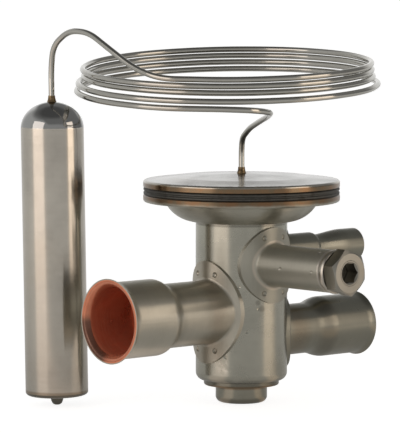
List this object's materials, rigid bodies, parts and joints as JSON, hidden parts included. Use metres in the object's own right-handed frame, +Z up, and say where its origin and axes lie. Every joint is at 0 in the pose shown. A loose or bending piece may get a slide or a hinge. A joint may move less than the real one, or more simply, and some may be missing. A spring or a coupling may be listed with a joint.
{
  "type": "thermostatic expansion valve",
  "caption": "Refrigeration expansion valve with side superheat spindle, three solder sockets, diaphragm element, coiled capillary and sensing bulb.",
  "frame": {"origin": "on the valve's axis, at the underside of the foot", "axes": "+Z up along the valve's axis, +X out of the inlet and the equaliser, -X out of the outlet, -Y out of the superheat spindle"},
  "size_m": [0.0825, 0.0764, 0.0903],
  "materials": {
    "stainless_steel": "satin, drawn and turned",
    "element_steel": "bright, tinted at the weld",
    "bulb_steel": "brushed, with a polished end",
    "copper": "drawn copper",
    "brass": "machined",
    "braze": "braze metal, dull",
    "seal_rubber": "matte"
  },
  "bodies": {
    "housing": {"valve_body": "stainless_steel", "closing_ring": "stainless_steel", "foot_plug": "stainless_steel", "outlet_sleeve": "stainless_steel", "outlet_lining": "copper", "inlet_sleeve": "stainless_steel", "inlet_lining": "copper", "inlet_strainer": "stainless_steel", "equaliser_sleeve": "stainless_steel", "equaliser_tube": "stainless_steel", "equaliser_lining": "copper", "spindle_housing": "stainless_steel", "gland_nut": "stainless_steel", "rod_guide": "brass", "rod_seal": "seal_rubber", "superheat_spring": "stainless_steel", "orifice_seat": "stainless_steel", "cone_spring": "stainless_steel", "element_base": "element_steel", "lower_clamp_ring": "element_steel", "diaphragm": "stainless_steel", "upper_clamp_ring": "element_steel", "element_cover": "element_steel", "element_bead": "braze", "capillary_tube": "stainless_steel", "bulb_bead": "braze", "bulb_shell": "bulb_steel", "bulb_cap": "bulb_steel", "filling_stub": "bulb_steel"},
    "adjusting_spindle": {"adjusting_spindle": "stainless_steel", "spindle_seal": "seal_rubber"},
    "crown_nut": {"crown_nut": "brass"},
    "spring_seat": {"spring_seat": "stainless_steel"},
    "stem": {"pressure_pad": "stainless_steel", "push_rod": "stainless_steel", "valve_cone": "stainless_steel"}
  },
  "joints": [
    {"name": "spindle_turn", "type": "hinge", "parent": "housing", "child": "adjusting_spindle", "pos_m": [0, 0, 0.0338], "axis": [0, -1, 0], "range_deg": [-720, 720]},
    {"name": "crown_turn", "type": "hinge", "parent": "housing", "child": "crown_nut", "pos_m": [0, 0, 0.0338], "axis": [0, 0, 1], "range_deg": [-300, 300]},
    {"name": "seat_lift", "type": "slide", "parent": "housing", "child": "spring_seat", "axis": [0, 0, 1], "range_m": [-0.00083, 0.00083], "deforming": ["superheat_spring"]},
    {"name": "valve_opening", "type": "slide", "parent": "housing", "child": "stem", "axis": [0, 0, -1], "range_m": [0, 0.0005], "stiffness_N_per_m": 2000, "springref_m": -0.002, "deforming": ["superheat_spring", "cone_spring", "diaphragm"]}
  ],
  "couplings": [
    {"joint": "spindle_turn", "follows": "seat_lift", "rad_per_m": -15080},
    {"joint": "crown_turn", "follows": "seat_lift", "rad_per_m": 6283.2}
  ]
}
